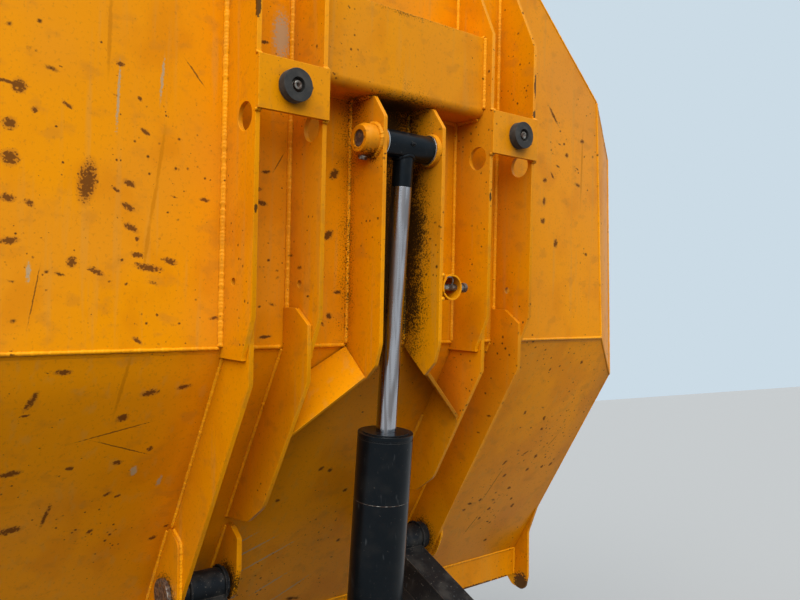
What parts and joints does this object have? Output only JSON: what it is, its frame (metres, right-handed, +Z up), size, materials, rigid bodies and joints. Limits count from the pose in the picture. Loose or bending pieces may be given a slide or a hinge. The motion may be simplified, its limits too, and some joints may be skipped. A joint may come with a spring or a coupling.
{
  "type": "site dumper tipping skip with tip ram",
  "caption": "Raised open-front tipping skip with ribbed underside, central tip ram, hinge pins and the black pivot cradle that carries them.",
  "frame": {"origin": "on the underside of the cradle, where it rests on the machine's front chassis, on the centre line", "axes": "+X to the machine's right, +Y forward the way the skip discharges, +Z up"},
  "size_m": [2.536, 1.093, 2.7585],
  "materials": {
    "skip_paint": "satin, scratched and chipped",
    "black_paint": "satin",
    "chrome": "polished",
    "rubber": "matt",
    "pin_steel": "greasy"
  },
  "bodies": {
    "cradle": {"arm_l": "black_paint", "arm_r": "black_paint", "cross_tube_front": "black_paint", "cross_tube_rear": "black_paint", "foot_clevis": "black_paint", "leg_l": "black_paint", "leg_r": "black_paint", "post_l": "black_paint", "post_r": "black_paint", "rail_l": "black_paint", "rail_r": "black_paint"},
    "skip": {"buffer_plate_l": "skip_paint", "buffer_plate_r": "skip_paint", "buffers": "rubber", "cheek_l": "skip_paint", "cheek_r": "skip_paint", "chine_l": "skip_paint", "chine_r": "skip_paint", "corner_wall_l": "skip_paint", "corner_wall_r": "skip_paint", "cross_box": "skip_paint", "ear_brace_l": "skip_paint", "ear_brace_r": "skip_paint", "ear_l": "skip_paint", "ear_r": "skip_paint", "floor_panel": "skip_paint", "front_panel": "skip_paint", "hinge_lug_l": "skip_paint", "hinge_lug_r": "skip_paint", "hinge_pins": "pin_steel", "hinge_plate_inner_l": "skip_paint", "hinge_plate_inner_r": "skip_paint", "hinge_plate_outer_l": "skip_paint", "hinge_plate_outer_r": "skip_paint", "lip_strip": "skip_paint", "ram_pin": "pin_steel", "rear_wall": "skip_paint", "rib_inner_l": "skip_paint", "rib_inner_r": "skip_paint", "rib_outer_l": "skip_paint", "rib_outer_r": "skip_paint", "rim_rear": "skip_paint", "rim_side_l": "skip_paint", "rim_side_r": "skip_paint", "side_wall_l": "skip_paint", "side_wall_r": "skip_paint", "stow_pin": "pin_steel", "stow_tube": "skip_paint"},
    "ram_barrel": {"barrel_gland": "black_paint", "barrel_tube": "black_paint"},
    "ram_rod": {"rod_eye": "black_paint", "rod_shaft": "chrome"}
  },
  "joints": [
    {"name": "skip_tip", "type": "hinge", "parent": "cradle", "child": "skip", "pos_m": [0, 0.25, 0.64], "axis": [1, 0, 0], "range_deg": [0, 80]},
    {"name": "ram_swing", "type": "hinge", "parent": "cradle", "child": "ram_barrel", "pos_m": [0, 0.02145, 0.24024], "axis": [1, 0, 0], "range_deg": [0, 76.45]},
    {"name": "rod_slide", "type": "slide", "parent": "ram_barrel", "child": "ram_rod", "axis": [0, -0.242, 0.9703], "range_m": [-0.58692, 0]}
  ],
  "couplings": [
    {"joint": "ram_swing", "follows": "skip_tip", "ratio": 0.95437},
    {"joint": "rod_slide", "follows": "skip_tip", "m_per_rad": -0.42}
  ]
}
